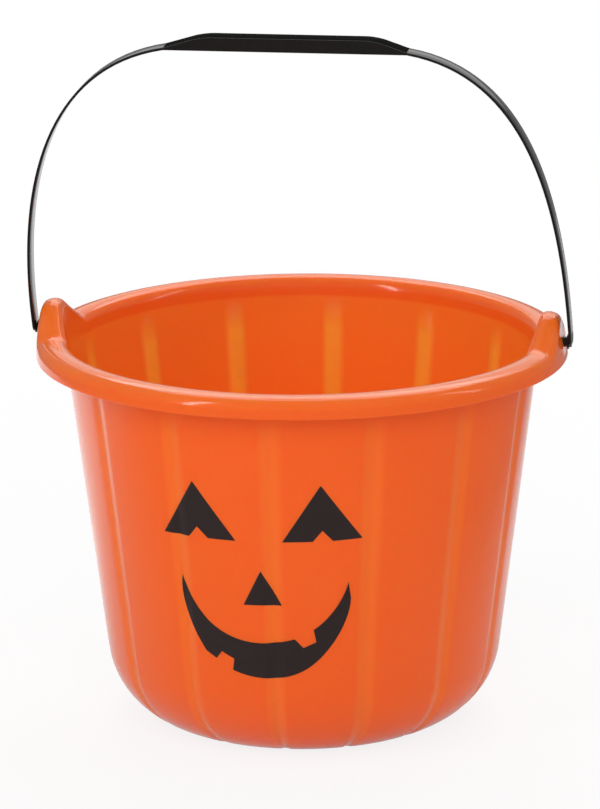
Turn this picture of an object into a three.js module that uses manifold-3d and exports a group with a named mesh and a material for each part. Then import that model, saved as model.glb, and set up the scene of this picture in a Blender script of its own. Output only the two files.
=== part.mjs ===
// Halloween bucket: a grooved plastic pail with two hooded ears, a swinging strap handle
// and a printed pumpkin face. Millimetres, +Z up, the middle of the base at the origin,
// the face towards -Y, the ears at -X and +X.

import * as THREE from 'three';
import Module from 'manifold-3d';
import { mergeVertices } from 'three/addons/utils/BufferGeometryUtils.js';

const wasm = await Module();
wasm.setup();

// Bucket wall, one sheet of plastic from the floor up over the rim
const sheet = 1.6;
const rimRadius = 115;
const rimHeight = 171.75;
const rimWidth = 12.9;
const skirtDepth = 8.8;
const wallDraft = THREE.MathUtils.degToRad(7.28);
const cornerRadius = 38;
const cornerSteps = 5;

// Rim section: a crown with a small outer round and a larger inner one
const crownInset = 7.2;
const outerRound = 4.8;
const innerRound = 4.9;
const crownTilt = THREE.MathUtils.degToRad(14.8);
const outerShoulderDrop = 0.7;
const innerShoulderDrop = 0.25;
const skirtFlare = THREE.MathUtils.degToRad(2);

// Upright grooves pressed into the wall; they run on into the bottom corner and end over the last
// part of its turn
const grooveCount = 14;
const grooveWidth = 10.8;
const grooveDepth = 0.9;
const grooveFade = 4;
const grooveRunOut = 0.63;
const panelSteps = 4;

// Ears: the rim climbs over each pivot by a ramp with a rounded top and foot, and narrows towards
// the top; the handle pulls both ears a little towards -X
const earRise = 12.2;
const earFoot = 27;
const earFootRound = 3;
const earTopRound = 8;
const earAxisInset = 5.5;
const earNarrowing = 0.3;
const earLean = -0.7;
const earSteps = 6;

// Pivot studs and their holes in the ears
const pivotDrop = 12.95;
const studRadius = 2.2;
const studClearance = 0.4;
const bossRadius = 2.35;
const flangeRadius = 3.25;
const flangeThickness = 0.7;
const headRadius = 3.1;
const headTipRadius = 2;
const headLength = 2.6;
const earGap = 1.05;
const studPlay = 0.45;
const bossInset = 0.35;
const roundSides = 16;

// Strap handle
const strapThickness = 1.15;
const strapWidth = 10.6;
const strapGap = 1.3;
const handleRise = 131;
const strapEndDrop = 1;
const strapEndRound = 3;
const armBulge = 1.6;
const armUpright = 46;
const shoulderReach = 59.5;
const shoulderFall = 9.8;
const armSteps = 14;
const handleSway = -6;

// Grip: a channel, open underneath, raised on the middle of the strap
const gripLength = 105.2;
const gripTopLength = 74.8;
const gripShift = 1.2;
const gripHeight = 6;
const gripWall = 1.6;

// Printed face: its middle lies a little to the left of the front groove
const inkThickness = 0.3;
const inkGap = 0.3;
const faceWidth = 85.3;
const faceOffset = -4.5;
const faceBase = 41.7;
const mouthCurveSteps = 8;

// Points nearer to each other than this are one point; cutting prisms run this far past the part
const sameWithin = 1e-4;
const cutMargin = 5;

// Heights and radii that follow from the sizes above
const skirtBottom = rimHeight - skirtDepth;
const wallTopRadius = rimRadius - rimWidth;
const earAxisRadius = rimRadius - earAxisInset;
const earTop = rimHeight + earRise;
const pivotHeight = earTop - pivotDrop;
const wallFootRadius = wallTopRadius - skirtBottom * Math.tan(wallDraft);
const cornerCentre = wallFootRadius - cornerRadius * Math.tan(Math.PI / 4 - wallDraft / 2);

const orange = new THREE.MeshStandardMaterial({ color: 0xe85a20, roughness: 0.35, metalness: 0 });
const black = new THREE.MeshStandardMaterial({ color: 0x282422, roughness: 0.4, metalness: 0 });
const ink = new THREE.MeshStandardMaterial({ color: 0x362827, roughness: 0.6, metalness: 0 });

// Turns a closed geometry into a solid that can be joined and cut
function solidOf(geometry) {
  const bare = geometry.clone();
  bare.deleteAttribute('normal');
  bare.deleteAttribute('uv');
  const merged = mergeVertices(bare, sameWithin);
  return new wasm.Manifold(new wasm.Mesh({
    numProp: 3,
    vertProperties: new Float32Array(merged.attributes.position.array),
    triVerts: new Uint32Array(merged.index.array),
  }));
}

function geometryOf(solid) {
  const mesh = solid.getMesh();
  const geometry = new THREE.BufferGeometry();
  geometry.setAttribute('position', new THREE.BufferAttribute(new Float32Array(mesh.vertProperties), 3));
  geometry.setIndex(new THREE.BufferAttribute(new Uint32Array(mesh.triVerts), 1));
  return geometry;
}

function smoothStep(t) {
  const clamped = Math.min(Math.max(t, 0), 1);
  return 0.5 - 0.5 * Math.cos(Math.PI * clamped);
}

// Angles are measured about Z from the front of the bucket towards +X
const fullTurn = 2 * Math.PI;
const groovePitch = fullTurn / grooveCount;
const grooveHalfAngle = grooveWidth / 2 / wallTopRadius;
const earAngles = [fullTurn / 4, 3 * fullTurn / 4];

function angleBetween(a, b) {
  const turn = THREE.MathUtils.euclideanModulo(a - b, fullTurn);
  return Math.min(turn, fullTurn - turn);
}

// How far the wall is pressed in at an angle, 1 in the middle of a groove
function grooveShare(angle) {
  const nearest = Math.round(angle / groovePitch) * groovePitch;
  return smoothStep(1 - angleBetween(angle, nearest) / grooveHalfAngle);
}

// How far the rim is raised at an angle, 1 at the middle of an ear: a parabola over the top, a
// straight ramp and a parabola into the foot
function earShare(angle) {
  const arc = Math.min(...earAngles.map((ear) => angleBetween(angle, ear))) * rimRadius;
  const slope = 2 / (2 * earFoot - earFootRound - earTopRound);
  if (arc < earTopRound) {
    return 1 - slope * arc * arc / (2 * earTopRound);
  }
  if (arc < earFoot - earFootRound) {
    return 1 - slope * (arc - earTopRound / 2);
  }
  return arc < earFoot ? slope * (earFoot - arc) ** 2 / (2 * earFootRound) : 0;
}

// The angles at which the sheet is drawn: groove edges and middles, panels and ears
function drawnAngles() {
  const angles = [];
  const panel = groovePitch - 2 * grooveHalfAngle;
  for (let groove = 0; groove < grooveCount; groove += 1) {
    const middle = groove * groovePitch;
    angles.push(middle);
    for (let step = 0; step <= panelSteps; step += 1) {
      angles.push(middle + grooveHalfAngle + panel * step / panelSteps);
    }
  }
  const earStep = earFoot / rimRadius / earSteps;
  const closest = earStep / 4;
  for (const ear of earAngles) {
    for (let step = -earSteps; step <= earSteps; step += 1) {
      const angle = ear + step * earStep;
      const isFree = angles.every((other) => angleBetween(angle, other) > closest);
      if (isFree) {
        angles.push(angle);
      }
    }
  }
  return angles.sort((a, b) => a - b);
}

// One row of the sheet's upper and inner face, with its normal in the section's plane
function row(radius, height, normalAngle, groove, lift) {
  return { radius, height, normalAngle, groove, lift };
}

const wallNormal = Math.PI - wallDraft;

function innerWallRadius(height) {
  return wallFootRadius + height * Math.tan(wallDraft) - sheet / Math.cos(wallDraft);
}

// Rows from the skirt's lower edge over the crown and down the inner wall to the floor
function sheetRows() {
  const outerShoulder = {
    radius: rimRadius - outerRound * (1 - Math.sin(crownTilt)),
    height: rimHeight - outerShoulderDrop,
  };
  const outerCentre = {
    radius: outerShoulder.radius - outerRound * Math.sin(crownTilt),
    height: outerShoulder.height - outerRound * Math.cos(crownTilt),
  };
  const innerShoulderHeight = rimHeight - innerShoulderDrop;
  const innerCentreHeight = innerShoulderHeight - innerRound * Math.cos(crownTilt);
  const wallTop = innerCentreHeight + innerRound * Math.sin(wallDraft);
  const innerCentreRadius = innerWallRadius(wallTop) + innerRound * Math.cos(wallDraft);
  const onOuterRound = (angle) => row(
    outerCentre.radius + outerRound * Math.cos(angle),
    outerCentre.height + outerRound * Math.sin(angle), angle, 0, 1);
  const onInnerRound = (angle) => row(
    innerCentreRadius + innerRound * Math.cos(angle),
    innerCentreHeight + innerRound * Math.sin(angle), angle, 0, 1);
  const outerTilt = Math.PI / 2 - crownTilt;
  const innerTilt = Math.PI / 2 + crownTilt;
  const grooveEnd = skirtBottom;
  const grooveStart = skirtBottom - grooveFade;
  const rows = [
    row(rimRadius, skirtBottom, skirtFlare, 0, 0),
    onOuterRound(skirtFlare),
    onOuterRound((skirtFlare + outerTilt) / 2),
    onOuterRound(outerTilt),
    row(rimRadius - crownInset, rimHeight, Math.PI / 2, 0, 1),
    onInnerRound(innerTilt),
    onInnerRound((innerTilt + wallNormal) / 2),
    onInnerRound(wallNormal),
    row(innerWallRadius(grooveEnd), grooveEnd, wallNormal, 0, 0),
    row(innerWallRadius(grooveStart), grooveStart, wallNormal, 1, 0),
  ];
  for (let step = 0; step <= cornerSteps; step += 1) {
    const share = step / cornerSteps;
    const angle = THREE.MathUtils.lerp(wallNormal, Math.PI / 2, share);
    const pastRunOut = (share - grooveRunOut) / (1 - grooveRunOut);
    rows.push(row(
      cornerCentre - (cornerRadius - sheet) * Math.cos(angle),
      cornerRadius - (cornerRadius - sheet) * Math.sin(angle),
      angle, 1 - smoothStep(pastRunOut), 0));
  }
  return rows;
}

// A row's point at an angle, as [radius, height]; depth is how far it lies under the upper face
function rowPoint(sheetRow, angle, depth) {
  const shift = grooveDepth * grooveShare(angle) * sheetRow.groove - depth;
  const ear = earShare(angle) * sheetRow.lift;
  const radius = earAxisRadius + (sheetRow.radius - earAxisRadius) * (1 - earNarrowing * ear)
    + earLean * Math.sin(angle) * ear;
  return [
    radius + shift * Math.cos(sheetRow.normalAngle),
    sheetRow.height + earRise * ear + shift * Math.sin(sheetRow.normalAngle),
  ];
}

// Skins a section that changes with the angle; its first and last point are on the axis, or it
// closes on itself
function skin(sectionAt, angles, endsOnAxis) {
  const positions = [];
  const index = [];
  const rings = [];
  const sections = angles.map(sectionAt);
  sections[0].forEach(([firstRadius, firstHeight], place) => {
    const onAxis = endsOnAxis && firstRadius === 0;
    const ring = [];
    sections.forEach((section, turn) => {
      if (onAxis && turn > 0) {
        ring.push(ring[0]);
        return;
      }
      const [radius, height] = onAxis ? [0, firstHeight] : section[place];
      ring.push(positions.length / 3);
      positions.push(radius * Math.sin(angles[turn]), -radius * Math.cos(angles[turn]), height);
    });
    rings.push(ring);
  });
  if (!endsOnAxis) {
    rings.push(rings[0]);
  }
  for (let place = 0; place + 1 < rings.length; place += 1) {
    for (let turn = 0; turn < angles.length; turn += 1) {
      const next = (turn + 1) % angles.length;
      const [a, b] = [rings[place][turn], rings[place][next]];
      const [c, d] = [rings[place + 1][next], rings[place + 1][turn]];
      if (a !== b) {
        index.push(a, b, c);
      }
      if (c !== d) {
        index.push(a, c, d);
      }
    }
  }
  const geometry = new THREE.BufferGeometry();
  geometry.setAttribute('position', new THREE.Float32BufferAttribute(positions, 3));
  geometry.setIndex(index);
  return geometry;
}

// A round bar along X, from its profile of [radius, x] points
function turnedAlongX(profile) {
  const points = profile.map(([radius, x]) => new THREE.Vector2(radius, x));
  return new THREE.LatheGeometry(points, roundSides).rotateZ(-Math.PI / 2);
}

// A plate of one outline in the XZ plane, centred on Y = 0
function plateAlongY(outline, width) {
  const shape = new THREE.Shape(outline.map(([x, z]) => new THREE.Vector2(x, z)));
  const plate = new THREE.ExtrudeGeometry(shape, { depth: width, bevelEnabled: false });
  plate.rotateX(Math.PI / 2);
  plate.translate(0, width / 2, 0);
  return plate;
}

const skirtTopRadius = earAxisRadius
  + (rimRadius - outerRound * (1 - Math.cos(skirtFlare)) - earAxisRadius) * (1 - earNarrowing);
const skirtTopHeight = rimHeight - outerShoulderDrop - outerRound * Math.cos(crownTilt) + earRise;
const pivotShare = (pivotHeight - skirtBottom) / (skirtTopHeight - skirtBottom);
const earFace = THREE.MathUtils.lerp(rimRadius, skirtTopRadius, pivotShare);
const earShift = earLean * pivotShare;
// The studs have slid a little to the right in the ears' holes
const pivotShift = earShift + studPlay;
const strapInnerFace = rimRadius + strapGap;
const armRadius = strapInnerFace + strapThickness;

function makeShell() {
  const rows = sheetRows();
  const section = (angle) => {
    const upper = rows.map((sheetRow) => rowPoint(sheetRow, angle, 0));
    const under = rows.map((sheetRow) => rowPoint(sheetRow, angle, sheet)).reverse();
    return [[0, 0], ...under, ...upper, [0, sheet]];
  };
  let solid = solidOf(skin(section, drawnAngles(), true));
  const holeRadius = studRadius + studClearance;
  for (const side of [-1, 1]) {
    const hole = turnedAlongX([
      [0, earFace - cutMargin], [holeRadius, earFace - cutMargin],
      [holeRadius, earFace + cutMargin], [0, earFace + cutMargin],
    ]);
    hole.scale(side, side, 1).translate(earShift, 0, pivotHeight);
    solid = solid.subtract(solidOf(hole));
  }
  return geometryOf(solid);
}

// The strap's outer face on the +X side, from the pivot up to the grip, seen from the front
function armCurve() {
  const gripEnd = gripLength / 2;
  const gripFoot = handleRise - gripHeight + strapThickness;
  return new THREE.CubicBezierCurve(
    new THREE.Vector2(armRadius, -strapEndDrop),
    new THREE.Vector2(armRadius + armBulge, armUpright),
    new THREE.Vector2(gripEnd + shoulderReach, gripFoot - shoulderFall),
    new THREE.Vector2(gripEnd, gripFoot));
}

// Both edges of the strap and the raised grip, as one closed outline above the pivot
function handleOutline() {
  const curve = armCurve();
  const outer = [];
  const inner = [];
  for (let step = 0; step <= armSteps; step += 1) {
    const point = curve.getPoint(step / armSteps);
    const tangent = curve.getTangent(step / armSteps);
    outer.push([point.x, point.y]);
    inner.push([point.x - strapThickness * tangent.y, point.y + strapThickness * tangent.x]);
  }
  const mirrored = (points) => points.map(([x, z]) => [-x, z]).reverse();
  const gripTop = [
    [gripShift + gripTopLength / 2, handleRise],
    [gripShift - gripTopLength / 2, handleRise],
  ];
  const innerLeft = inner.map(([x, z]) => [-x, z]);
  return [...outer, ...gripTop, ...mirrored(outer), ...innerLeft, ...inner.reverse()];
}

// The hollow of the grip, open downwards
function gripHollow() {
  const ramp = Math.atan2(gripHeight - strapThickness, (gripLength - gripTopLength) / 2);
  const top = gripTopLength / 2 - gripWall * Math.tan(ramp / 2);
  const foot = top + (gripHeight - gripWall) / Math.tan(ramp);
  const ceiling = handleRise - gripWall;
  const mouth = handleRise - gripHeight;
  const outline = [
    [top, ceiling], [-top, ceiling], [-foot, mouth],
    [-foot, mouth - cutMargin], [foot, mouth - cutMargin], [foot, mouth],
  ];
  return plateAlongY(outline, strapWidth - 2 * gripWall).translate(gripShift, 0, 0);
}

// Rounds the two lower corners of the strap's ends, seen from the side
function strapEndEnvelope() {
  const half = strapWidth / 2;
  const shape = new THREE.Shape();
  shape.moveTo(-half, handleRise + cutMargin);
  shape.lineTo(-half, strapEndRound - strapEndDrop);
  shape.absarc(strapEndRound - half, strapEndRound - strapEndDrop, strapEndRound,
    Math.PI, 3 * Math.PI / 2);
  shape.absarc(half - strapEndRound, strapEndRound - strapEndDrop, strapEndRound,
    3 * Math.PI / 2, 2 * Math.PI);
  shape.lineTo(half, handleRise + cutMargin);
  const depth = 2 * (armRadius + cutMargin);
  const block = new THREE.ExtrudeGeometry(shape, {
    depth,
    curveSegments: roundSides / 4,
    bevelEnabled: false,
  });
  block.translate(0, 0, -depth / 2);
  block.rotateX(Math.PI / 2);
  block.rotateZ(Math.PI / 2);
  return block;
}

// Boss, flange, stud and snap head in one, turned about the pivot's axis on the +X side
function pivotStud() {
  const flangeFace = earFace + earGap;
  const headFace = earFace - sheet - earGap;
  const bossEnd = armRadius - bossInset;
  return turnedAlongX([
    [0, headFace - headLength], [headTipRadius, headFace - headLength], [headRadius, headFace],
    [studRadius, headFace], [studRadius, flangeFace], [flangeRadius, flangeFace],
    [flangeRadius, flangeFace + flangeThickness], [bossRadius, flangeFace + flangeThickness],
    [bossRadius, bossEnd], [0, bossEnd],
  ]);
}

// The handle hangs a little to one side, more the higher it goes
function sway(geometry) {
  const position = geometry.attributes.position;
  for (let vertex = 0; vertex < position.count; vertex += 1) {
    const share = Math.max(position.getZ(vertex), 0) / handleRise;
    const shift = handleSway * (1 - (1 - share) ** 2);
    position.setX(vertex, position.getX(vertex) + shift);
  }
  return geometry;
}

function makeHandle() {
  let solid = solidOf(plateAlongY(handleOutline(), strapWidth));
  solid = solid.intersect(solidOf(strapEndEnvelope()));
  solid = solid.subtract(solidOf(gripHollow()));
  const swayed = solidOf(sway(geometryOf(solid)));
  const stud = pivotStud();
  const otherStud = stud.clone().rotateZ(Math.PI);
  return geometryOf(swayed.add(solidOf(stud)).add(solidOf(otherStud)));
}

// A thin layer that follows the wall's outer face all round
function inkLayer() {
  const rows = sheetRows();
  const top = rows.findIndex((sheetRow) => sheetRow.groove === 1);
  const [upper, lower] = [rows[top], rows[top + 1]];
  const section = (angle) => [
    rowPoint(upper, angle, sheet + inkGap),
    rowPoint(lower, angle, sheet + inkGap),
    rowPoint(lower, angle, sheet + inkGap + inkThickness),
    rowPoint(upper, angle, sheet + inkGap + inkThickness),
  ];
  return solidOf(skin(section, drawnAngles(), false));
}

// Outlines of the printed face, seen from the front: [x, z] from the middle of the face and
// from the mouth's lowest point, in hundredths of the face's width
const leftEye = [[-34.8, 102.6], [-50.5, 73.2], [-37.2, 73], [-32.9, 78.8], [-27.2, 73.2], [-13, 73.3]];
const rightEye = [[30.2, 103.5], [10.6, 73.6], [25.6, 73.9], [30.5, 79.7], [35.4, 74.1], [49.5, 74.8]];
const nose = [[-0.7, 57.7], [-9.7, 39.3], [9.6, 39.7]];

// The mouth: a crescent with one square tooth cut from above and one from below
function mouthOutline() {
  const leftTip = [-41.7, 51];
  const rightTip = [42.3, 51.7];
  const mouth = new THREE.Shape();
  mouth.moveTo(...leftTip);
  mouth.bezierCurveTo(-43.4, 38.7, -37.5, 24.6, -30, 12.5);
  mouth.lineTo(-24.6, 8.9);
  mouth.lineTo(-21.8, 13);
  mouth.lineTo(-15.4, 9.6);
  mouth.lineTo(-16.2, 3.5);
  mouth.bezierCurveTo(-4.1, -1.4, 12.3, -1.4, 23, 6.9);
  mouth.bezierCurveTo(32.9, 14.5, 42.4, 29.9, 43.3, 43);
  mouth.lineTo(...rightTip);
  mouth.bezierCurveTo(40.6, 43.4, 33.4, 32.2, 25, 26.6);
  mouth.lineTo(26.1, 19.9);
  mouth.lineTo(19.7, 16.9);
  mouth.lineTo(15.5, 21.6);
  mouth.bezierCurveTo(3.5, 18.1, -11.7, 16.8, -24.6, 25.8);
  mouth.bezierCurveTo(-32.2, 31.1, -38.1, 41, ...leftTip);
  return mouth.getPoints(mouthCurveSteps).slice(0, -1).map((point) => [point.x, point.y]);
}

// Cuts one printed mark out of the ink layer by a straight prism through the front
function makeMark(layer, outline) {
  const reach = wallTopRadius + cornerRadius;
  const sized = outline.map(([x, z]) => [x * faceWidth / 100, z * faceWidth / 100]);
  const prism = plateAlongY(sized, reach);
  prism.translate(faceOffset, -reach / 2, faceBase);
  return geometryOf(layer.intersect(solidOf(prism)));
}

function named(name, geometry, material) {
  const mesh = new THREE.Mesh(geometry, material);
  mesh.name = name;
  return mesh;
}

const bucket = new THREE.Group();
const layer = inkLayer();
bucket.add(named('bucket_shell', makeShell(), orange));
bucket.add(named('left_eye_print', makeMark(layer, leftEye), ink));
bucket.add(named('right_eye_print', makeMark(layer, rightEye), ink));
bucket.add(named('nose_print', makeMark(layer, nose), ink));
bucket.add(named('mouth_print', makeMark(layer, mouthOutline()), ink));

const handle = new THREE.Group();
handle.position.set(pivotShift, 0, pivotHeight);
handle.add(named('carry_handle', makeHandle(), black));

const group = new THREE.Group();
group.add(bucket, handle);

export default group;
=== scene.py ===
# %% [markdown]
# # A Halloween bucket in injection-moulded plastic
# The real object is a thin orange pail, made in one shot of polypropylene, with a black strap
# handle that snaps into two hooded ears, and a pumpkin face in black ink on its front.
# The CAD model gives every size and the moving frame. This file models the same pieces again
# with smooth rounds, soft edges and real finishes, and shows them in place of the CAD nodes.

import math

import bpy
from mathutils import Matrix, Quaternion, Vector


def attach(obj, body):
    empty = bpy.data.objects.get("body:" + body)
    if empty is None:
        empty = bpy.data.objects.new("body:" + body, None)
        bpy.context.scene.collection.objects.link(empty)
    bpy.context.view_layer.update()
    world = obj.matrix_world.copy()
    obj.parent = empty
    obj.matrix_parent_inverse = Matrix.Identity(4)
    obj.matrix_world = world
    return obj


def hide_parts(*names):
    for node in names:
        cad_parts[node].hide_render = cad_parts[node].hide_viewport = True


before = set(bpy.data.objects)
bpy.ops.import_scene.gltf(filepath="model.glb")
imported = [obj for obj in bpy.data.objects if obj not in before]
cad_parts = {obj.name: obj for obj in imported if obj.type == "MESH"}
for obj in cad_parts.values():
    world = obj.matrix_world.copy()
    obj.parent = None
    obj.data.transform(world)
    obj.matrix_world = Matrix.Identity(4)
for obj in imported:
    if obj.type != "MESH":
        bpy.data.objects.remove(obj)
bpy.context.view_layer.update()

# Blender works in metres, and the sizes below are millimetres
MM = 0.001
print("CAD nodes:", sorted(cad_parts))

# %% [markdown]
# ## Working as by hand
# Each piece starts as a primitive, is shaped in edit mode and finished with modifiers.
# An operator acts on everything that is selected, and loading the frame leaves the CAD nodes
# selected, so every step starts by selecting nothing. When a piece is done, its place is moved
# into its mesh, so that its object sits at the origin as a CAD node's does.


# %% Small helpers for starting and finishing a piece
def deselect_all():
    if bpy.context.mode != "OBJECT":
        bpy.ops.object.mode_set(mode="OBJECT")
    bpy.ops.object.select_all(action="DESELECT")


def make_active(piece):
    deselect_all()
    piece.select_set(True)
    bpy.context.view_layer.objects.active = piece


def name_piece(name):
    piece = bpy.context.active_object
    piece.name = name
    piece.data.name = name
    return piece


def settle(piece):
    make_active(piece)
    bpy.ops.object.transform_apply(location=True, rotation=True, scale=True)
    return piece


def edit_all(piece):
    make_active(piece)
    bpy.ops.object.mode_set(mode="EDIT")
    bpy.ops.mesh.select_all(action="SELECT")


def apply_modifier(piece, kind, **settings):
    make_active(piece)
    modifier = piece.modifiers.new(kind.title(), kind)
    for name, value in settings.items():
        setattr(modifier, name, value)
    bpy.ops.object.modifier_apply(modifier=modifier.name)


def report(piece):
    size = piece.dimensions / MM
    print(f"{piece.name}: {len(piece.data.polygons)} faces,",
          f"{size.x:.1f} x {size.y:.1f} x {size.z:.1f} mm")


# %% Select by place and normal
# A normal or an edge with this much of an axis in it counts as pointing along that axis
FACING = 0.9
# Places closer than this many millimetres count as level with each other
LEVEL_WITH = 0.2


def select_parts(piece, mode, test):
    """Selects faces by their middle and normal, or edges by their middle and direction."""
    make_active(piece)
    bpy.ops.object.mode_set(mode="EDIT")
    bpy.ops.mesh.select_mode(type=mode)
    bpy.ops.mesh.select_all(action="DESELECT")
    bpy.ops.object.mode_set(mode="OBJECT")
    mesh = piece.data
    if mode == "FACE":
        for face in mesh.polygons:
            face.select = test(face.center, face.normal)
    else:
        for edge in mesh.edges:
            start, end = (mesh.vertices[index].co for index in edge.vertices)
            edge.select = test((start + end) / 2, (end - start).normalized())
    bpy.ops.object.mode_set(mode="EDIT")


print("selecting ready")

# %% [markdown]
# ## Drawing a section and turning it
# A moulded pail is a turned form, so its section is drawn once and spun about the axis, as on
# a lathe. The section starts as a plane merged to one vertex, which is extruded from point to
# point. Spinning can leave the faces pointing either way, so they are made consistent after the
# seam and the pole have been closed.


# %% Chain and spin
SAME_POINT = 0.01


def draw_chain(name, points):
    deselect_all()
    bpy.ops.mesh.primitive_plane_add(size=MM, location=points[0])
    piece = name_piece(name)
    bpy.ops.object.mode_set(mode="EDIT")
    bpy.ops.mesh.select_mode(type="VERT")
    bpy.ops.mesh.merge(type="CENTER")
    for here, there in zip(points, points[1:]):
        bpy.ops.mesh.extrude_region_move(TRANSFORM_OT_translate={"value": there - here})
    return settle(piece)


def spin_chain(piece, centre, axis, steps):
    edit_all(piece)
    bpy.ops.mesh.spin(steps=steps, angle=2 * math.pi, center=centre, axis=axis)
    bpy.ops.mesh.select_all(action="SELECT")
    bpy.ops.mesh.remove_doubles(threshold=SAME_POINT * MM)
    bpy.ops.mesh.normals_make_consistent(inside=False)
    bpy.ops.object.mode_set(mode="OBJECT")


def arc_points(centre, radius, start, end, steps):
    angles = [start + (end - start) * step / steps for step in range(steps + 1)]
    return [(centre[0] + radius * math.cos(a), centre[1] + radius * math.sin(a)) for a in angles]


def bezier(points, share):
    """A point on the Bezier curve through the first and last of these points."""
    while len(points) > 1:
        points = [tuple(p + (q - p) * share for p, q in zip(a, b))
                  for a, b in zip(points, points[1:])]
    return points[0]


print("section tools ready")

# %% [markdown]
# ## The bucket's section
# The sheet runs from the skirt's lower edge over the rim's crown, down the drafted wall and
# round the bottom corner to the middle of the floor. The wall is one thickness everywhere, so
# only its upper and inner face is drawn, and Solidify gives it the other face later.
# Sizes are millimetres, the same as in the CAD model.

# %% Section sizes
SHEET = 1.6
RIM_RADIUS = 115
RIM_HEIGHT = 171.75
SKIRT_BOTTOM = RIM_HEIGHT - 8.8
WALL_TOP_RADIUS = RIM_RADIUS - 12.9
DRAFT = math.radians(7.28)
CORNER_RADIUS = 38
CROWN_RADIUS = RIM_RADIUS - 7.2
OUTER_ROUND = 4.8
INNER_ROUND = 4.9
CROWN_TILT = math.radians(14.8)
OUTER_DROP = 0.7
INNER_DROP = 0.25
SKIRT_FLARE = math.radians(2)
GROOVE_TOP_BAND = 5

# Steps of each stretch of the section, finest where it bends most
FLAT_STEPS = 4
ROUND_STEPS = 9
BAND_STEPS = 5
WALL_STEPS = 14
CORNER_STEPS = 16

WALL_NORMAL = math.pi - DRAFT
WALL_FOOT_RADIUS = WALL_TOP_RADIUS - SKIRT_BOTTOM * math.tan(DRAFT)
CORNER_CENTRE = WALL_FOOT_RADIUS - CORNER_RADIUS * math.tan(math.pi / 4 - DRAFT / 2)
print(f"wall {SHEET} mm, flat base {2 * CORNER_CENTRE:.0f} mm across")


# %% Section points
def inner_wall_radius(height):
    return WALL_FOOT_RADIUS + height * math.tan(DRAFT) - SHEET / math.cos(DRAFT)


def even_points(start, end, steps):
    return [bezier([start, end], step / steps) for step in range(1, steps)]


def crown_points(shoulder, tilt, crown, steps):
    """A soft curve from a shoulder of the rim, at its slope, to the level crown."""
    third = (crown[0] - shoulder[0]) / 3
    knee = (shoulder[0] + third, shoulder[1] + abs(third) * math.tan(tilt))
    flat = (crown[0] - third, crown[1])
    return [bezier([shoulder, knee, flat, crown], step / steps) for step in range(1, steps)]


outer_tilt = math.pi / 2 - CROWN_TILT
outer_centre = (RIM_RADIUS - OUTER_ROUND,
                RIM_HEIGHT - OUTER_DROP - OUTER_ROUND * math.cos(CROWN_TILT))
inner_centre_height = RIM_HEIGHT - INNER_DROP - INNER_ROUND * math.cos(CROWN_TILT)
inner_round_foot = inner_centre_height + INNER_ROUND * math.sin(DRAFT)
inner_centre = (inner_wall_radius(inner_round_foot) + INNER_ROUND * math.cos(DRAFT),
                inner_centre_height)
outer_arc = arc_points(outer_centre, OUTER_ROUND, SKIRT_FLARE, outer_tilt, ROUND_STEPS)
inner_arc = arc_points(inner_centre, INNER_ROUND, math.pi / 2 + CROWN_TILT, WALL_NORMAL,
                       ROUND_STEPS)
crown = (CROWN_RADIUS, RIM_HEIGHT)
corner_arc = arc_points((CORNER_CENTRE, CORNER_RADIUS), CORNER_RADIUS - SHEET,
                        -DRAFT, -math.pi / 2, CORNER_STEPS)
band_foot = SKIRT_BOTTOM - GROOVE_TOP_BAND
groove_end = (inner_wall_radius(SKIRT_BOTTOM), SKIRT_BOTTOM)
groove_start = (inner_wall_radius(band_foot), band_foot)
skirt_edge = (RIM_RADIUS, SKIRT_BOTTOM)
floor_middle = (0, SHEET)
section = [
    skirt_edge, *even_points(skirt_edge, outer_arc[0], FLAT_STEPS), *outer_arc,
    *crown_points(outer_arc[-1], CROWN_TILT, crown, FLAT_STEPS), crown,
    *reversed(crown_points(inner_arc[0], CROWN_TILT, crown, FLAT_STEPS)), *inner_arc,
    *even_points(inner_arc[-1], groove_end, FLAT_STEPS), groove_end,
    *even_points(groove_end, groove_start, BAND_STEPS), groove_start,
    *even_points(groove_start, corner_arc[0], WALL_STEPS), *corner_arc,
    *even_points(corner_arc[-1], floor_middle, FLAT_STEPS), floor_middle,
]
print("section of", len(section), "points")

# %% [markdown]
# ## Turning the section into the pail
# The section is drawn in front of the axis, so the first step of the spin lies in the middle
# of the front groove. The number of steps is a multiple of the grooves, so that all fourteen
# come out alike.

# %% Spin the pail
GROOVES = 14
STEPS_PER_GROOVE = 32

bucket = draw_chain("moulded_bucket", [Vector((0, -r, h)) * MM for r, h in section])
spin_chain(bucket, (0, 0, 0), (0, 0, 1), STEPS_PER_GROOVE * GROOVES)
floor_face = min(bucket.data.polygons, key=lambda face: face.center.length)
if floor_face.normal.z < 0:
    edit_all(bucket)
    bpy.ops.mesh.flip_normals()
deselect_all()
report(bucket)

# %% [markdown]
# ## Grooves and ears by weight
# Narrow grooves run down the wall and end late in the bottom corner, and the rim climbs over
# each pivot into a hooded ear. Both are the same sheet pushed to another place, so they are
# painted as vertex weights and moved by modifiers: Displace presses the grooves in along the
# normals and lifts the ears, and Cast draws the ear's section together towards a circle inside
# the rim. The weights follow the CAD model's own formulas.

# %% Weights of grooves and ears
GROOVE_WIDTH = 10.8
GROOVE_DEPTH = 0.9
GROOVE_FADE = 9
GROOVE_RUN_OUT = 0.63
EAR_RISE = 12.2
EAR_FOOT = 27
EAR_FOOT_ROUND = 3
EAR_TOP_ROUND = 8
EAR_AXIS_RADIUS = RIM_RADIUS - 5.5
EAR_NARROWING = 0.3
EAR_LEAN = -0.7


def smooth_step(share):
    return 0.5 - 0.5 * math.cos(math.pi * min(max(share, 0), 1))


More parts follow.
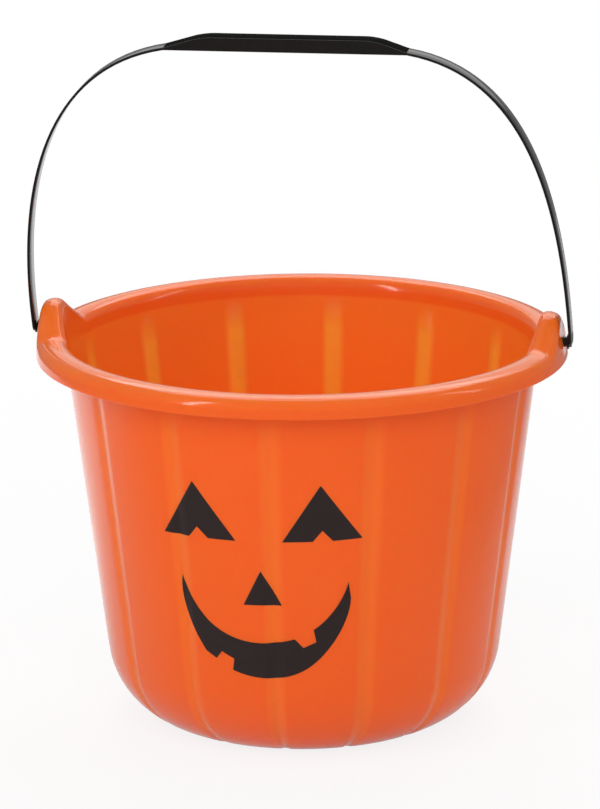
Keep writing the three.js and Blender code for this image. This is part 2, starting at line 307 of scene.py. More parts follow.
def across_groove(angle, steepness=1):
    """1 in the middle of the nearest groove and 0 beside it; a steeper one has a flat middle."""
    pitch = 2 * math.pi / GROOVES
    off_middle = abs(angle - round(angle / pitch) * pitch)
    return smooth_step(steepness * (1 - off_middle * WALL_TOP_RADIUS * 2 / GROOVE_WIDTH))


def along_groove(height, fade):
    """Rises from 0 under the rim to 1 on the wall, and falls to 0 late in the bottom corner."""
    rise = min((CORNER_RADIUS - height) / (CORNER_RADIUS - SHEET), 1)
    turned = max(math.asin(max(rise, 0)) - DRAFT, 0) / (math.pi / 2 - DRAFT)
    at_corner = 1 - smooth_step((turned - GROOVE_RUN_OUT) / (1 - GROOVE_RUN_OUT))
    return smooth_step((SKIRT_BOTTOM - height) / fade) * at_corner


def groove_weight(angle, radius, height):
    if radius > WALL_TOP_RADIUS or height > SKIRT_BOTTOM:
        return 0
    return across_groove(angle) * along_groove(height, GROOVE_FADE)


def ear_weight(angle, radius, height):
    """1 on the rim over a pivot: a parabola over the top, a ramp and a parabola at its foot."""
    arc = abs(abs(angle) - math.pi / 2) * RIM_RADIUS
    slope = 2 / (2 * EAR_FOOT - EAR_FOOT_ROUND - EAR_TOP_ROUND)
    weight = 0
    if arc < EAR_TOP_ROUND:
        weight = 1 - slope * arc * arc / (2 * EAR_TOP_ROUND)
    elif arc < EAR_FOOT - EAR_FOOT_ROUND:
        weight = 1 - slope * (arc - EAR_TOP_ROUND / 2)
    elif arc < EAR_FOOT:
        weight = slope * (EAR_FOOT - arc) ** 2 / (2 * EAR_FOOT_ROUND)
    top = outer_arc[0][1] if radius > CROWN_RADIUS else inner_arc[-1][1]
    return weight * min(max((height - SKIRT_BOTTOM) / (top - SKIRT_BOTTOM), 0), 1)


print(f"an ear rises {EAR_RISE} mm, a groove is {GROOVE_DEPTH} mm deep")


# %% Paint the weights
def paint_weights(piece, name, weight_at):
    places = [vertex.co / MM for vertex in piece.data.vertices]
    weights = [weight_at(math.atan2(x, -y), math.hypot(x, y), z) for x, y, z in places]
    group = piece.vertex_groups.new(name=name)
    for index, weight in enumerate(weights):
        if weight > 0:
            group.add([index], weight, "REPLACE")


paint_weights(bucket, "groove", groove_weight)
paint_weights(bucket, "ear", ear_weight)
print("weights painted:", [group.name for group in bucket.vertex_groups])

# %% [markdown]
# ## Pressing, lifting and thickening
# The grooves go in first, along the wall's own normals. Then the ears are narrowed, lifted and
# leaned a little to the left, because the handle pulls them that way in the photograph.
# Solidify adds the outer face, at an even distance, and the skirt's sharp edge gets the small
# radius that every moulded edge has.

# %% Shape the sheet
SKIRT_EDGE_ROUND = 0.4
SMALL_ROUND_SEGMENTS = 3
SHARP_CORNER = math.radians(60)

apply_modifier(bucket, "DISPLACE", direction="NORMAL", strength=GROOVE_DEPTH * MM, mid_level=0,
               vertex_group="groove")
apply_modifier(bucket, "CAST", cast_type="CYLINDER", factor=EAR_NARROWING, use_z=False,
               use_radius_as_size=False, size=EAR_AXIS_RADIUS * MM, vertex_group="ear")
apply_modifier(bucket, "DISPLACE", direction="Z", strength=EAR_RISE * MM, mid_level=0,
               vertex_group="ear")
apply_modifier(bucket, "DISPLACE", direction="X", strength=EAR_LEAN * MM, mid_level=0,
               vertex_group="ear")
apply_modifier(bucket, "SOLIDIFY", thickness=SHEET * MM, offset=-1, use_even_offset=True,
               use_quality_normals=True)
apply_modifier(bucket, "BEVEL", width=SKIRT_EDGE_ROUND * MM, segments=SMALL_ROUND_SEGMENTS,
               limit_method="ANGLE", angle_limit=SHARP_CORNER)
report(bucket)

# %% [markdown]
# ## Where light comes through
# On the real pail light shines through the grooves, where the sheet seems to be pressed thinner,
# and they look yellow, most of all from the inside. The sheet here is one thickness, so this glow
# is painted light: a yellow colour from an attribute on the vertices, for the material to read.
# The upward faces of the rim's hollow crown get a little of it too, as painted light from above.

# %% Paint the glow
GLOW_FADE = 14
GLOW_STEEPNESS = 2.2
# Shares of painted yellow light: all over the inner face, in a groove's outer face, on the crown's
# top
GLOW_INSIDE = 0.3
GLOW_OUTSIDE = 0.16
GLOW_CROWN = 0.2


def glow_share(place, normal):
    x, y, z = place / MM
    angle = math.atan2(x, -y)
    radius = math.hypot(x, y)
    if z > SKIRT_BOTTOM or radius > WALL_TOP_RADIUS:
        return GLOW_CROWN * max(normal.z, 0)
    faces_in = normal.z * radius > normal.x * x + normal.y * y
    in_groove = across_groove(angle, GLOW_STEEPNESS) * along_groove(z, GLOW_FADE)
    return GLOW_INSIDE + (1 - GLOW_INSIDE) * in_groove if faces_in else GLOW_OUTSIDE * in_groove


mesh = bucket.data
shares = [glow_share(vertex.co, vertex.normal) for vertex in mesh.vertices]
mesh.attributes.new("glow_share", "FLOAT", "POINT").data.foreach_set("value", shares)
print(f"glow painted on {sum(share > 0 for share in shares)} of {len(shares)} vertices")

# %% [markdown]
# ## Pin holes
# The handle's studs snap through a round hole in each ear. A cylinder is cut out of the ear
# with a Boolean, which is exact where a hole crosses a curved sheet.

# %% Cut the holes
PIVOT_HEIGHT = 171
EAR_SHIFT = -0.36
EAR_FACE = 114.15
HOLE_RADIUS = 2.6
HOLE_SIDES = 32
DRILL_LENGTH = 10
BUCKET_CREASE = math.radians(40)

for side in (-1, 1):
    deselect_all()
    place = Vector((side * EAR_FACE + EAR_SHIFT, 0, PIVOT_HEIGHT)) * MM
    bpy.ops.mesh.primitive_cylinder_add(vertices=HOLE_SIDES, radius=HOLE_RADIUS * MM,
                                        depth=DRILL_LENGTH * MM, location=place,
                                        rotation=(0, math.pi / 2, 0))
    drill = settle(name_piece("drill"))
    apply_modifier(bucket, "BOOLEAN", object=drill, operation="DIFFERENCE", solver="EXACT")
    bpy.data.objects.remove(drill)
make_active(bucket)
bpy.ops.object.shade_smooth_by_angle(angle=BUCKET_CREASE)
report(bucket)

# %% [markdown]
# ## The printed face
# Pad printing lays a film of ink on the finished wall, so the marks have crisp outlines and no
# thickness to speak of. Each outline is drawn flat, filled, cut into narrow strips so that it
# can bend, and then shrink-wrapped straight back onto the wall's front, grooves included.
# The outlines are the CAD model's, in hundredths of the face's width.

# %% Outlines of the four marks
FACE_WIDTH = 85.3
FACE_MIDDLE = -4.5
FACE_BASE = 41.7
LEFT_EYE = [(-34.8, 102.6), (-50.5, 73.2), (-37.2, 73), (-32.9, 78.8), (-27.2, 73.2), (-13, 73.3)]
RIGHT_EYE = [(30.2, 103.5), (10.6, 73.6), (25.6, 73.9), (30.5, 79.7), (35.4, 74.1), (49.5, 74.8)]
NOSE = [(-0.7, 57.7), (-9.7, 39.3), (9.6, 39.7)]
LEFT_TIP = (-41.7, 51)
RIGHT_TIP = (42.3, 51.7)
# The mouth goes round by curves of four points and straight lines of two
MOUTH = [
    [LEFT_TIP, (-43.4, 38.7), (-37.5, 24.6), (-30, 12.5)],
    [(-30, 12.5), (-24.6, 8.9)],
    [(-24.6, 8.9), (-21.8, 13)],
    [(-21.8, 13), (-15.4, 9.6)],
    [(-15.4, 9.6), (-16.2, 3.5)],
    [(-16.2, 3.5), (-4.1, -1.4), (12.3, -1.4), (23, 6.9)],
    [(23, 6.9), (32.9, 14.5), (42.4, 29.9), (43.3, 43)],
    [(43.3, 43), RIGHT_TIP],
    [RIGHT_TIP, (40.6, 43.4), (33.4, 32.2), (25, 26.6)],
    [(25, 26.6), (26.1, 19.9)],
    [(26.1, 19.9), (19.7, 16.9)],
    [(19.7, 16.9), (15.5, 21.6)],
    [(15.5, 21.6), (3.5, 18.1), (-11.7, 16.8), (-24.6, 25.8)],
    [(-24.6, 25.8), (-32.2, 31.1), (-38.1, 41), LEFT_TIP],
]
CURVE_STEPS = 14


def mouth_outline():
    outline = []
    for run in MOUTH:
        steps = CURVE_STEPS if len(run) == 4 else 1
        outline += [bezier(run, step / steps) for step in range(steps)]
    return outline


print("mouth outline of", len(mouth_outline()), "points")

# %% Print the marks on the wall
INK_THICKNESS = 0.12
STRIP_WIDTH = 1.1
STRIP_HEIGHT = 3 * STRIP_WIDTH
DRAWN_BEFORE_RIM = 20


def print_mark(name, outline):
    unit = FACE_WIDTH / 100
    front = -RIM_RADIUS - DRAWN_BEFORE_RIM
    points = [Vector((FACE_MIDDLE + x * unit, front, FACE_BASE + z * unit)) * MM
              for x, z in outline]
    mark = draw_chain(name, points)
    edit_all(mark)
    bpy.ops.mesh.edge_face_add()
    bpy.ops.mesh.quads_convert_to_tris(ngon_method="BEAUTY")
    for axis, normal, gap in ((0, (1, 0, 0), STRIP_WIDTH), (2, (0, 0, 1), STRIP_HEIGHT)):
        first = min(point[axis] for point in points) / MM
        last = max(point[axis] for point in points) / MM
        for cut in range(1, math.ceil((last - first) / gap)):
            place = (first + cut * gap) * MM
            bpy.ops.mesh.select_all(action="SELECT")
            bpy.ops.mesh.bisect(plane_co=Vector(normal) * place, plane_no=normal)
    deselect_all()
    apply_modifier(mark, "SHRINKWRAP", target=bucket, wrap_method="PROJECT", use_project_y=True,
                   use_positive_direction=True, use_negative_direction=False,
                   wrap_mode="ABOVE_SURFACE", offset=INK_THICKNESS * MM)
    edit_all(mark)
    bpy.ops.mesh.normals_make_consistent(inside=False)
    bpy.ops.object.mode_set(mode="OBJECT")
    if sum(face.normal.y * face.area for face in mark.data.polygons) > 0:
        edit_all(mark)
        bpy.ops.mesh.flip_normals()
        bpy.ops.object.mode_set(mode="OBJECT")
    apply_modifier(mark, "SOLIDIFY", thickness=INK_THICKNESS * MM, offset=-1)
    report(mark)
    return mark


ink_marks = {
    "left_eye_print": print_mark("ink_left_eye", LEFT_EYE),
    "right_eye_print": print_mark("ink_right_eye", RIGHT_EYE),
    "nose_print": print_mark("ink_nose", NOSE),
    "mouth_print": print_mark("ink_mouth", mouth_outline()),
}

# %% [markdown]
# ## The handle's grip
# The handle is one black moulding: a thin flat strap with a raised channel in the middle for
# the hand. It starts as a cube the size of the strap under the grip. The top face is extruded
# up and drawn in, which gives the two ramps, and the bottom face is inset and pushed up into
# the hollow of the channel.

# %% Raise the grip and hollow it
STRAP_THICKNESS = 1.15
STRAP_WIDTH = 10.6
STUD_PLAY = 0.45
PIVOT_SHIFT = EAR_SHIFT + STUD_PLAY
HANDLE_RISE = 131
HANDLE_SWAY = -6
GRIP_LENGTH = 105.2
GRIP_TOP_LENGTH = 74.8
GRIP_SHIFT = 1.2
GRIP_HEIGHT = 6
GRIP_WALL = 1.6


def sway_at(height):
    """How far the handle leans to the left at a height above its pivot."""
    return PIVOT_SHIFT + HANDLE_SWAY * (1 - (1 - max(height, 0) / HANDLE_RISE) ** 2)


slab_height = HANDLE_RISE - GRIP_HEIGHT + STRAP_THICKNESS / 2
grip_middle = Vector((sway_at(slab_height), 0, PIVOT_HEIGHT + slab_height)) * MM
deselect_all()
bpy.ops.mesh.primitive_cube_add(size=MM, location=grip_middle,
                                scale=(GRIP_LENGTH, STRAP_WIDTH, STRAP_THICKNESS))
handle = settle(name_piece("strap_handle"))


def scale_along_x(share, shift):
    bpy.ops.transform.resize(value=(share, 1, 1), center_override=grip_middle)
    bpy.ops.transform.translate(value=(shift * MM, 0, 0))


select_parts(handle, "FACE", lambda centre, normal: normal.z > FACING)
bpy.ops.mesh.extrude_region_move(
    TRANSFORM_OT_translate={"value": (0, 0, (GRIP_HEIGHT - STRAP_THICKNESS) * MM)})
scale_along_x(GRIP_TOP_LENGTH / GRIP_LENGTH, GRIP_SHIFT)
ramp = math.atan2(GRIP_HEIGHT - STRAP_THICKNESS, (GRIP_LENGTH - GRIP_TOP_LENGTH) / 2)
hollow_length = GRIP_TOP_LENGTH - 2 * GRIP_WALL * math.tan(ramp / 2)
select_parts(handle, "FACE", lambda centre, normal: normal.z < -FACING)
bpy.ops.mesh.inset(thickness=GRIP_WALL * MM)
bpy.ops.mesh.extrude_region_move(
    TRANSFORM_OT_translate={"value": (0, 0, (GRIP_HEIGHT - GRIP_WALL) * MM)})
scale_along_x(hollow_length / (GRIP_LENGTH - 2 * GRIP_WALL), GRIP_SHIFT)
deselect_all()
report(handle)

# %% [markdown]
# ## Rounding the ramps, then pulling out the arms
# The channel's top edges over the ramps are rounded off with a wide bevel. Then each end face
# is extruded down the strap's curve: move a little, turn the new face to the curve's direction,
# and go on. The section never changes, so the strap keeps its thickness all the way.
# Without a window, Blender's rotate turns the other way, so the angle is given with its sign
# changed, and the centre is given each time.

# %% Bevel the ramp tops
RAMP_ROUND = 4.5
CURVE_SEGMENTS = 6

top_height = (PIVOT_HEIGHT + HANDLE_RISE) * MM
select_parts(handle, "EDGE", lambda middle, along: abs(along.y) > FACING
             and abs(middle.z - top_height) < LEVEL_WITH * MM
             and abs(middle.y) < LEVEL_WITH * MM)
bpy.ops.mesh.bevel(offset=RAMP_ROUND * MM, segments=CURVE_SEGMENTS, affect="EDGES")
deselect_all()
report(handle)

# %% The strap's curve
STRAP_GAP = 1.3
STRAP_END_DROP = 1
STRAP_END_ROUND = 3
ARM_BULGE = 1.6
ARM_UPRIGHT = 46
SHOULDER_REACH = 59.5
SHOULDER_FALL = 9.8
ARM_STEPS = 36
ARM_RADIUS = RIM_RADIUS + STRAP_GAP + STRAP_THICKNESS

grip_end = GRIP_LENGTH / 2
grip_foot = HANDLE_RISE - GRIP_HEIGHT + STRAP_THICKNESS
ARM_CURVE = [
    (grip_end, grip_foot),
    (grip_end + SHOULDER_REACH, grip_foot - SHOULDER_FALL),
    (ARM_RADIUS + ARM_BULGE, ARM_UPRIGHT),
    (ARM_RADIUS, -STRAP_END_DROP),
]


def arm_path(side):
    """The middle of the strap's section, from the grip's end down past the pivot."""
    outer = [bezier(ARM_CURVE, step / ARM_STEPS) for step in range(ARM_STEPS + 1)]
    path = []
    for step, (reach, height) in enumerate(outer):
        before = outer[max(step - 1, 0)]
        after = outer[min(step + 1, ARM_STEPS)]
        run, fall = after[0] - before[0], after[1] - before[1]
        inset = STRAP_THICKNESS / 2 / math.hypot(run, fall)
        middle = (reach + fall * inset, height - run * inset)
        path.append(Vector((side * middle[0] + sway_at(middle[1]), 0,
                            PIVOT_HEIGHT + middle[1])) * MM)
    return path


print("each arm follows", len(arm_path(1)), "points")


# %% Pull out both arms
def slope_of(vector):
    """The turn about Y that brings +X to this direction."""
    return math.atan2(-vector.z, vector.x)


def pull_arm(side):
    path = arm_path(side)
    select_parts(handle, "FACE", lambda centre, normal: normal.x * side > FACING
                 and abs(centre.z - grip_middle.z) < STRAP_THICKNESS * MM / 4)
    start = Vector((grip_middle.x + side * grip_end * MM, 0, grip_middle.z))
    facing = 0 if side > 0 else math.pi
    for step in range(1, len(path)):
        bpy.ops.mesh.extrude_region_move(TRANSFORM_OT_translate={"value": path[step] - start})
        start = path[step]
        last = path[min(step + 1, len(path) - 1)]
        aim = slope_of(last - path[step - 1])
        turn = (aim - facing + math.pi) % (2 * math.pi) - math.pi
        bpy.ops.transform.rotate(value=-turn, orient_axis="Y", center_override=start)
        facing = aim
    deselect_all()
    return path[-1]


strap_ends = [pull_arm(side) for side in (-1, 1)]
print("strap ends at", [tuple(round(c / MM, 1) for c in end) for end in strap_ends])
report(handle)

# %% [markdown]
# ## Rounded ends and edges
# The four corners of the strap's ends are rounded by a bevel of the short edges that run
# through its thickness. A small bevel all over then breaks every sharp edge. Along the grip these
# edges carry a thin light line, partly from their gloss and partly a painted highlight in grey.

# %% Round the strap's ends and break the edges
EDGE_BREAK = 0.28
HANDLE_CREASE = math.radians(35)

end_height = (PIVOT_HEIGHT - STRAP_END_DROP) * MM
select_parts(handle, "EDGE", lambda middle, along: abs(along.x) > FACING
             and abs(middle.z - end_height) < LEVEL_WITH * MM
             and abs(abs(middle.y) - STRAP_WIDTH * MM / 2) < LEVEL_WITH * MM)
bpy.ops.mesh.bevel(offset=STRAP_END_ROUND * MM, segments=CURVE_SEGMENTS, affect="EDGES")
deselect_all()
apply_modifier(handle, "BEVEL", width=EDGE_BREAK * MM, segments=SMALL_ROUND_SEGMENTS,
               limit_method="ANGLE", angle_limit=HANDLE_CREASE)
report(handle)

# %% [markdown]
# ## Pivot studs
# At each end a boss, a thin round flange, the stud and a tapered snap head are one turned form
# on the pivot's axis. It is drawn as half a section, spun about X and joined to the strap with
# a Boolean, because the real handle is one shot of plastic.

# %% Turn and join the studs
EAR_GAP = 1.05
STUD_RADIUS = 2.2
STUD_SIDES = 48
HEAD_RADIUS = 3.1
HEAD_LENGTH = 2.6
HEAD_TIP_RADIUS = 2
HEAD_TIP_ROUND = 0.3
HEAD_LIP = 0.4
HEAD_LIP_FALL = 0.1
FLANGE_RADIUS = 3.25
FLANGE_THICKNESS = 0.8
FLANGE_ROUND = 0.15
BOSS_RADIUS = 2.35
BOSS_FOOT = 0.25
BOSS_INSET = 0.35

head_face = EAR_FACE - SHEET - EAR_GAP
head_tip = head_face - HEAD_LENGTH
flange_face = EAR_FACE + EAR_GAP
flange_back = flange_face + FLANGE_THICKNESS
boss_end = ARM_RADIUS - BOSS_INSET
STUD_PROFILE = [
    (head_tip, 0),
    (head_tip, HEAD_TIP_RADIUS - HEAD_TIP_ROUND),
    (head_tip + HEAD_TIP_ROUND, HEAD_TIP_RADIUS),
    (head_face - HEAD_LIP, HEAD_RADIUS - HEAD_LIP_FALL),
    (head_face, HEAD_RADIUS),
    (head_face, STUD_RADIUS),
    (flange_face, STUD_RADIUS),
    (flange_face, FLANGE_RADIUS - FLANGE_ROUND),
    (flange_face + FLANGE_ROUND, FLANGE_RADIUS),
    (flange_back - FLANGE_ROUND, FLANGE_RADIUS),
    (flange_back, FLANGE_RADIUS - FLANGE_ROUND),
    (flange_back, BOSS_RADIUS + BOSS_FOOT),
    (flange_back + BOSS_FOOT, BOSS_RADIUS),
    (boss_end, BOSS_RADIUS),
    (boss_end, 0),
]
pivot = Vector((0, 0, PIVOT_HEIGHT)) * MM
for side in (-1, 1):
    points = [pivot + Vector((side * x + PIVOT_SHIFT, 0, r)) * MM for x, r in STUD_PROFILE]
    stud = draw_chain("stud", points)
    spin_chain(stud, pivot, (1, 0, 0), STUD_SIDES)
    apply_modifier(handle, "BOOLEAN", object=stud, operation="UNION", solver="EXACT")
    bpy.data.objects.remove(stud)
make_active(handle)
bpy.ops.object.shade_smooth_by_angle(angle=HANDLE_CREASE)
report(handle)

# %% [markdown]
# ## The grip's textured top
# The palm rests on a top face that is eroded to a dull texture in the mould, and so are both
# ramps, so they show dead black next to the glossy strap. The rounded edges along them are glossy
# and grey, a painted highlight for the thin light line they carry. Faces are picked by where they
# lie and how they face, and given the second and third material slots.

# %% Pick the textured faces and the polished edges
TEXTURE_START = 0.15
TILTED = 0.3

strap_top = (PIVOT_HEIGHT + grip_foot + TEXTURE_START) * MM


def give_slot(slot, test):
    """Gives a material slot to the grip's upper faces that tilt sideways as the test says."""
    select_parts(handle, "FACE", lambda centre, normal: centre.z > strap_top
                 and normal.z > TILTED and test(abs(normal.y)))
    deselect_all()
    picked = [face for face in handle.data.polygons if face.select]
    for face in picked:
        face.material_index = slot
    return len(picked)


textured = give_slot(1, lambda sideways: sideways < TILTED)
highlighted = give_slot(2, lambda sideways: sideways > TILTED)
print(textured, "textured faces and", highlighted, "polished ones")

# %% [markdown]
# ## Materials
# Colours are given as sRGB hex values, as a paint program shows them, and one function turns
# them to the linear values that the shader works in. One small function adds a node with its
# settings and its links.


# %% Colour and node helpers
def linear(hex_colour):
    channels = [int(hex_colour[place:place + 2], 16) / 255 for place in (1, 3, 5)]
    return tuple(c / 12.92 if c <= 0.04045 else ((c + 0.055) / 1.055) ** 2.4
                 for c in channels) + (1,)


def add_node(tree, kind, inputs=None, **settings):
    """Adds a node; an input is given a value or the output that feeds it."""
    node = tree.nodes.new(kind)
    for name, value in settings.items():
        setattr(node, name, value)
    for socket, value in (inputs or {}).items():
        if isinstance(value, bpy.types.NodeSocket):
            tree.links.new(value, node.inputs[socket])
        else:
            node.inputs[socket].default_value = value
    return node


def new_material(name):
    material = bpy.data.materials.new(name)
    material.use_nodes = True
    tree = material.node_tree
    return material, tree, tree.nodes["Principled BSDF"]


def mottle(tree, size_mm):
    """Soft noise whose blotches are about this many millimetres across."""
    coordinates = add_node(tree, "ShaderNodeTexCoord").outputs["Object"]
    scale = 1 / (size_mm * MM)
    return add_node(tree, "ShaderNodeTexNoise",
                    {"Vector": coordinates, "Scale": scale, "Detail": 2}).outputs["Fac"]


def two_shades(tree, size_mm, first, second):
    """Two shades of a colour in soft blotches of this size."""
    # A Mix node's colours are its inputs 6 and 7, and the mixed colour is its output 2
    return add_node(tree, "ShaderNodeMix", {"Factor": mottle(tree, size_mm), 6: linear(first),
                                            7: linear(second)}, data_type="RGBA").outputs[2]


def waviness(tree, size_mm, height_mm):
    """A bump of soft noise, as a moulding has where it has shrunk a little unevenly."""
    return add_node(tree, "ShaderNodeBump", {"Height": mottle(tree, size_mm), "Strength": 1,
                                             "Distance": height_mm * MM}).outputs["Normal"]


print("an orange of #F06B22 is", tuple(round(c, 3) for c in linear("#F06B22")))

# %% [markdown]
# ## Orange polypropylene
# The pail is injection-moulded polypropylene, pigmented orange and a little translucent. That
# gives the eye a saturated, even colour, a warm glow where light comes through the thin wall,
# a yellow tone where light comes through the sheet pressed thin in the grooves, which is painted
# into the base colour here, and a clear gloss that turns pale at grazing angles. The translucency
# is subsurface scattering over about the wall's own thickness, which reddens the light that passes
# through.

# %% Orange polypropylene
# The pigment varies slowly, and uneven shrinking leaves low waves, both over a centimetre or two
PIGMENT_BLOTCH = 18
SHRINK_WAVE = 14
SHRINK_HEIGHT = 0.02
POLISHED_MOULD_ROUGHNESS = 0.12
POLYPROPYLENE_IOR = 1.49
# Light goes this many millimetres into the plastic: all of that in red, less in green and blue
LIGHT_PATH = 2.5
PATH_BY_COLOUR = (1, 0.4, 0.1)

orange_plastic, tree, shader = new_material("orange_polypropylene_moulded")
# Painted light: glow_share mixes a yellow into the base colour for light coming through the
# grooves, the inner face and the crown
glow = add_node(tree, "ShaderNodeAttribute", attribute_name="glow_share").outputs["Fac"]
body = two_shades(tree, PIGMENT_BLOTCH, "#F06B22", "#F26920")
lit_through = add_node(tree, "ShaderNodeMix", {"Factor": glow, 6: body, 7: linear("#FFA53C")},
                       data_type="RGBA").outputs[2]
tree.links.new(lit_through, shader.inputs["Base Color"])
tree.links.new(waviness(tree, SHRINK_WAVE, SHRINK_HEIGHT), shader.inputs["Normal"])
shader.inputs["Roughness"].default_value = POLISHED_MOULD_ROUGHNESS
shader.inputs["IOR"].default_value = POLYPROPYLENE_IOR
shader.inputs["Subsurface Weight"].default_value = 1
shader.inputs["Subsurface Radius"].default_value = PATH_BY_COLOUR
shader.inputs["Subsurface Scale"].default_value = LIGHT_PATH * MM
print("made", orange_plastic.name)

# %% [markdown]
# ## Black polypropylene and black ink
# The handle is the same kind of plastic in black. The strap is glossy and shows pale where it
# is seen at a grazing angle, the top of the grip is eroded to a dull texture, and the rounded
# edges along it are glossy, with a grey base colour that is a painted highlight for the light
# line they catch. The pad-printing ink is a warm near-black with a satin surface.

# %% Black polypropylene and ink
# The eroded texture's grain of about 0.1 mm is too fine to show here, so its blotches are drawn
# 1.2 mm across; a moulding's flow marks and an ink film's clouds are a few millimetres wide
FLOW_MARK = 6
TEXTURE_BLOTCH = 1.2
HIGHLIGHT_BLOTCH = 2
INK_BLOTCH = 4

glossy_black, tree, shader = new_material("black_polypropylene_moulded")
shade = two_shades(tree, FLOW_MARK, "#120F0D", "#191513")
tree.links.new(shade, shader.inputs["Base Color"])
shader.inputs["Roughness"].default_value = POLISHED_MOULD_ROUGHNESS
shader.inputs["IOR"].default_value = POLYPROPYLENE_IOR
shader.inputs["Specular IOR Level"].default_value = 0.35

dull_black, tree, shader = new_material("black_polypropylene_textured")
shade = two_shades(tree, TEXTURE_BLOTCH, "#0E0D0C", "#161514")
tree.links.new(shade, shader.inputs["Base Color"])
shader.inputs["Roughness"].default_value = 0.9
shader.inputs["Specular IOR Level"].default_value = 0.02

# Painted highlight: the grip's rounded edges are glossy, and their grey base colour paints the
# light line they catch
painted_highlight_black, tree, shader = new_material("black_polypropylene_glossy_edge_painted_highlight")
shade = two_shades(tree, HIGHLIGHT_BLOTCH, "#464542", "#4E4D4A")
tree.links.new(shade, shader.inputs["Base Color"])
shader.inputs["Roughness"].default_value = 0.35
shader.inputs["IOR"].default_value = POLYPROPYLENE_IOR
shader.inputs["Specular IOR Level"].default_value = 1

ink, tree, shader = new_material("black_pad_printing_ink")
shade = two_shades(tree, INK_BLOTCH, "#2B2020", "#302423")
tree.links.new(shade, shader.inputs["Base Color"])
shader.inputs["Roughness"].default_value = 0.45
shader.inputs["Specular IOR Level"].default_value = 0.3
print("made", ", ".join(made.name for made in (glossy_black, dull_black, painted_highlight_black, ink)))


# %% Dress the pieces
def dress(piece, *materials):
    for slot, material in enumerate(materials):
        if slot < len(piece.data.materials):
            piece.data.materials[slot] = material
        else:
            piece.data.materials.append(material)


dress(bucket, orange_plastic)
dress(handle, glossy_black, dull_black, painted_highlight_black)
for mark in ink_marks.values():
    dress(mark, ink)
print("dressed", 2 + len(ink_marks), "pieces")

# %% [markdown]
# ## Riding on the frame
# Every piece moves with one CAD body and stands for its node, so the model swings as the
# MuJoCo model does.

# %% Ride, replace and name the slots
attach(bucket, "bucket")
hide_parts("bucket_shell")
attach(handle, "handle")
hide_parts("carry_handle")
for node, mark in ink_marks.items():
    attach(mark, "bucket")
    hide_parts(node)
print("all pieces ride")

# %% [markdown]
# ## Floor, light and camera
# The camera sees the floor and all behind it as white, apart from a faint shadow near the pail,
# because Light Path tells the floor and the world which rays come from the camera. Glossy rays
# see white cards on the floor beside and behind the pail, which give the plastic its pale
# edges, and a dimmer floor and room everywhere else, which keeps its colour clear in the
# middle. Softboxes and strips are lamps with a size, so they show in the gloss as soft bands,
# all but the one in front, which is hidden from it.

# %% What each kind of ray sees of the floor
WHITE = (1, 1, 1, 1)
SHADOWED = 0.85
SHADOW_NEAR = 0.2
SHADOW_FAR = 0.8
ROOM_LEVEL = 0.28


def ray_share(tree, camera, glossy, others):
    """A value for camera rays, one for glossy rays and one for all the others."""
    rays = add_node(tree, "ShaderNodeLightPath").outputs
    # A Mix node's plain values are its inputs 2 and 3
    share = others
    for kind, value in (("Is Glossy Ray", glossy), ("Is Transmission Ray", 1),
                        ("Is Camera Ray", camera)):
        share = add_node(tree, "ShaderNodeMix", {"Factor": rays[kind], 2: share, 3: value},
                         data_type="FLOAT").outputs[0]
    return share


def shadow_fade(tree):
    """How white the floor is to the camera: it keeps the shadow only near the object."""
    place = add_node(tree, "ShaderNodeTexCoord").outputs["Object"]
    distance = add_node(tree, "ShaderNodeVectorMath", {0: place}, operation="LENGTH")
    return add_node(tree, "ShaderNodeMapRange",
                    {"Value": distance.outputs["Value"], "From Min": SHADOW_NEAR,
                     "From Max": SHADOW_FAR, "To Min": SHADOWED, "To Max": 1}).outputs[0]


def soft_card(tree, low, high, level, soft):
    """The strength that gloss sees: the room's, rising over a card's soft front and right edge."""
    place = add_node(tree, "ShaderNodeTexCoord").outputs["Object"]
    x, y = add_node(tree, "ShaderNodeSeparateXYZ", {0: place}).outputs[:2]
    across = add_node(tree, "ShaderNodeMapRange",
                      {"Value": x, "From Min": high[0] - soft[0], "From Max": high[0],
                       "To Min": level, "To Max": ROOM_LEVEL}).outputs[0]
    return add_node(tree, "ShaderNodeMapRange",
                    {"Value": y, "From Min": low[1], "From Max": low[1] + soft[1],
                     "To Min": ROOM_LEVEL, "To Max": across}).outputs[0]


print("floor nodes ready")


# %% Lay the floor and the cards
def lay_floor(name, low, high, depth, gloss_level, soft=None):
    """A level rectangle that shows the object's shadow and is white in the picture."""
    middle = [(a + b) / 2 for a, b in zip(low, high)]
    deselect_all()
    bpy.ops.mesh.primitive_plane_add(size=1, location=(*middle, -depth))
    bpy.ops.transform.resize(value=(high[0] - low[0], high[1] - low[1], 1))
    floor = settle(name_piece(name))
    material, tree, shader = new_material(name + "_white")
    material.cycles.emission_sampling = "NONE"
    shader.inputs["Base Color"].default_value = linear("#FAFAFA")
    shader.inputs["Roughness"].default_value = 0.9
    shader.inputs["Specular IOR Level"].default_value = 0
    seen_in_gloss = soft_card(tree, low, high, gloss_level, soft) if soft else gloss_level
    light = add_node(tree, "ShaderNodeEmission",
                     {"Color": WHITE, "Strength": ray_share(tree, 1, seen_in_gloss, 1)})
    mix = add_node(tree, "ShaderNodeMixShader",
                   {0: ray_share(tree, shadow_fade(tree), 1, 0), 1: shader.outputs[0],
                    2: light.outputs[0]})
    tree.links.new(mix.outputs[0], tree.nodes["Material Output"].inputs["Surface"])
    floor.data.materials.append(material)
    print("laid", name)


# Low and high corners are in metres; a soft edge is (right, front), and 1 mm is as good as sharp
CARD_DEPTH = 0.05 * MM
FLOOR_DEPTH = 0.1 * MM
WHITE_LEVEL = 1.1
GREY_LEVEL = 0.8
LEFT_EDGES = (0.001, 0.35)
RIGHT_EDGES = (0.15, 0.35)

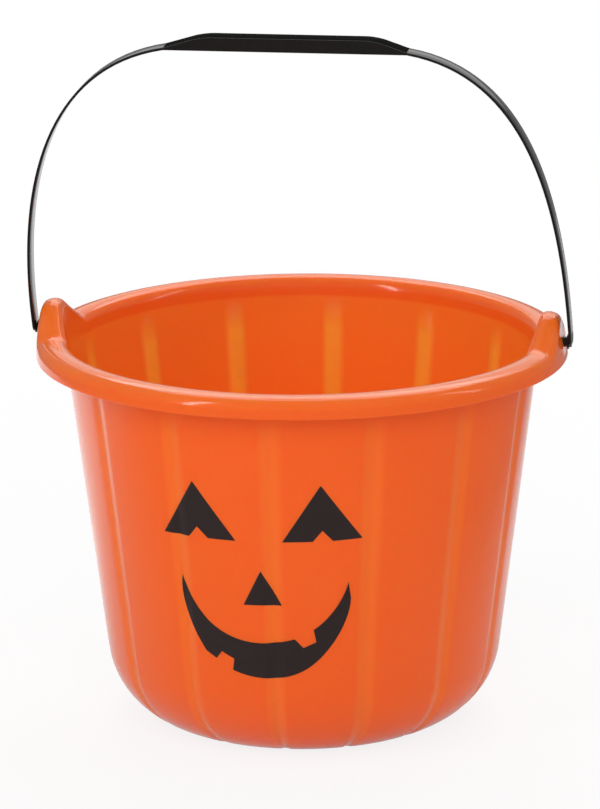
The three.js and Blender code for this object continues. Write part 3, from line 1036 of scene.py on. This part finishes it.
lay_floor("near_left_card", (-0.65, -0.15), (0, 0.6), CARD_DEPTH, WHITE_LEVEL, LEFT_EDGES)
lay_floor("near_right_card", (0, -0.15), (0.3, 0.6), CARD_DEPTH, GREY_LEVEL, RIGHT_EDGES)
lay_floor("left_card", (-0.65, 0.6), (0.03, 0.72), CARD_DEPTH, WHITE_LEVEL)
lay_floor("far_card", (-0.65, 0.72), (0.16, 1.8), CARD_DEPTH, WHITE_LEVEL)
lay_floor("far_right_card", (0.215, 0.74), (0.31, 1.25), CARD_DEPTH, WHITE_LEVEL)
lay_floor("pale_floor", (-15, -15), (15, 15), FLOOR_DEPTH, ROOM_LEVEL)

# %% World
GLOSS_LEVEL = 0.3
LIGHT_LEVEL = 0.45

world = bpy.data.worlds.new("soft_studio")
bpy.context.scene.world = world
world.use_nodes = True
tree = world.node_tree
background = tree.nodes["Background"]
background.inputs["Color"].default_value = WHITE
tree.links.new(ray_share(tree, 1, GLOSS_LEVEL, LIGHT_LEVEL), background.inputs["Strength"])
print("world ready")


# %% Lamps
LAMP_TARGET = Vector((0, 0, 120)) * MM


def add_lamp(name, location, width, height, watts, in_gloss=True):
    """A rectangular softbox of this size in metres, turned towards the pail."""
    deselect_all()
    bpy.ops.object.light_add(type="AREA", location=location)
    lamp = bpy.context.active_object
    lamp.name = name
    lamp.data.name = name
    lamp.data.shape = "RECTANGLE"
    lamp.data.size = width
    lamp.data.size_y = height
    lamp.data.energy = watts
    lamp.visible_glossy = in_gloss
    lamp.rotation_mode = "QUATERNION"
    lamp.rotation_quaternion = (LAMP_TARGET - lamp.location).to_track_quat("-Z", "Y")
    print(f"{name}: {width} x {height} m, {watts} W")


add_lamp("overhead_softbox", (0, 1.1, 1.5), 1.4, 1, 10)
add_lamp("back_softbox", (-0.1, 2.5, 1.35), 2.4, 1.6, 9)
add_lamp("front_softbox", (0.3, -1.85, 1.15), 1, 1, 12.5, in_gloss=False)
add_lamp("left_strip_light", (-1.03, -1.23, 0.95), 0.15, 1.4, 6)
add_lamp("right_strip_light", (1.6, -0.08, 1.1), 0.15, 1.2, 2)

# %% Camera at the photograph's place
AZIMUTH = math.radians(8.21)
ELEVATION = math.radians(14.796)
ROLL = math.radians(-0.429)
DISTANCE = 2.76
SENSOR_WIDTH = 36
IMAGE_HEIGHT_PX = 809
FOCAL_LENGTH_PX = 6361
OFF_CENTRE_PX = 2.45

look_at = Vector((0, 0, 139.55)) * MM
back = Vector((math.sin(AZIMUTH) * math.cos(ELEVATION),
               -math.cos(AZIMUTH) * math.cos(ELEVATION), math.sin(ELEVATION)))
deselect_all()
bpy.ops.object.camera_add(location=look_at + DISTANCE * back)
camera = bpy.context.active_object
camera.name = "photo_camera"
camera.rotation_mode = "QUATERNION"
camera.rotation_quaternion = (-back).to_track_quat("-Z", "Y") @ Quaternion((0, 0, 1), ROLL)
camera.data.sensor_width = SENSOR_WIDTH
camera.data.lens = FOCAL_LENGTH_PX * SENSOR_WIDTH / IMAGE_HEIGHT_PX
camera.data.shift_x = -OFF_CENTRE_PX / IMAGE_HEIGHT_PX
bpy.context.scene.camera = camera
bpy.context.scene.view_settings.view_transform = "Standard"
print(f"camera lens {camera.data.lens:.1f} mm")
